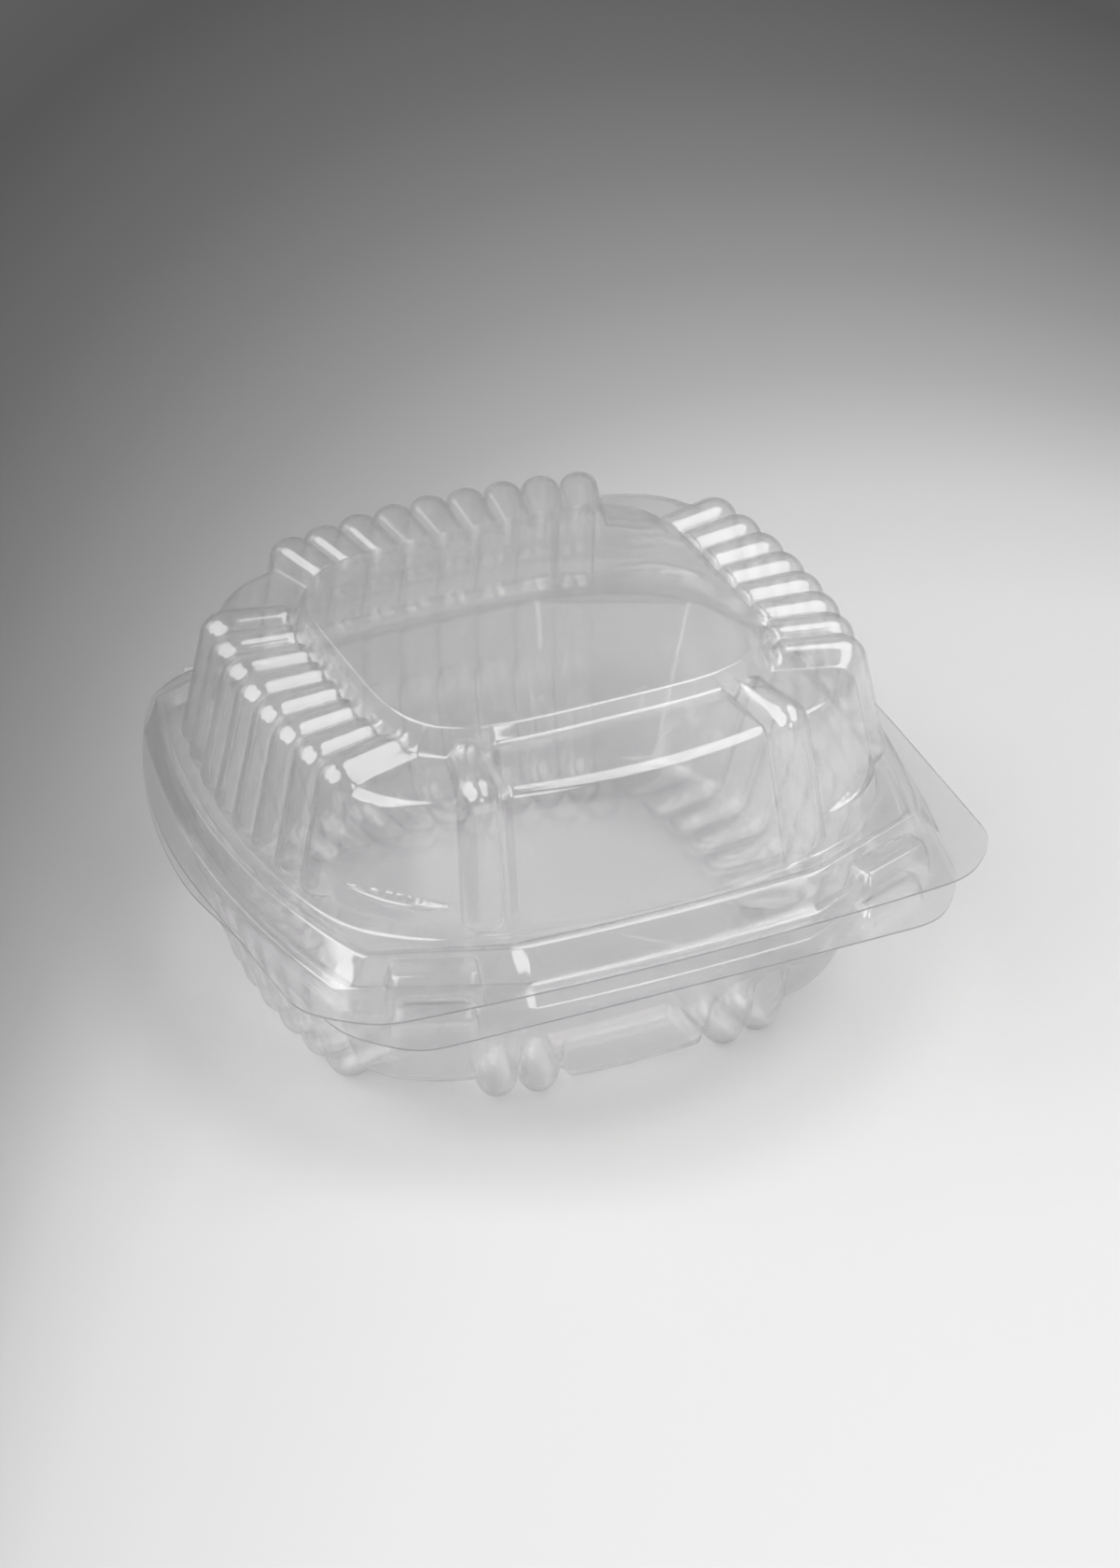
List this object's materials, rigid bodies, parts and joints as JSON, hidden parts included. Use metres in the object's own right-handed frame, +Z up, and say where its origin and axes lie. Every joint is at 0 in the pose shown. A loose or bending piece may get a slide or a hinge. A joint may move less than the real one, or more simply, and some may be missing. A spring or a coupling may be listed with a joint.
{
  "type": "plastic clamshell pack",
  "caption": "Clear thermoformed food clamshell: square ribbed tray and domed ribbed lid on a living hinge along the back edge, with a nesting rim bead and snap buttons at the front corners.",
  "frame": {"origin": "centre of the overall box in plan, on the plane the feet rest on", "axes": "+X to the right seen from the front, +Y to the hinged back edge, +Z up"},
  "size_m": [0.1526, 0.141, 0.0793],
  "materials": {
    "clear_sheet": "clear, glossy, faintly milky"
  },
  "bodies": {
    "tray_body": {"base_tray": "clear_sheet"},
    "lid_body": {"lid": "clear_sheet"}
  },
  "joints": [
    {"name": "lid_hinge", "type": "hinge", "parent": "tray_body", "child": "lid_body", "pos_m": [0, 0.0699, 0.03415], "axis": [-1, 0, 0], "range_deg": [-2.5, 165]}
  ]
}
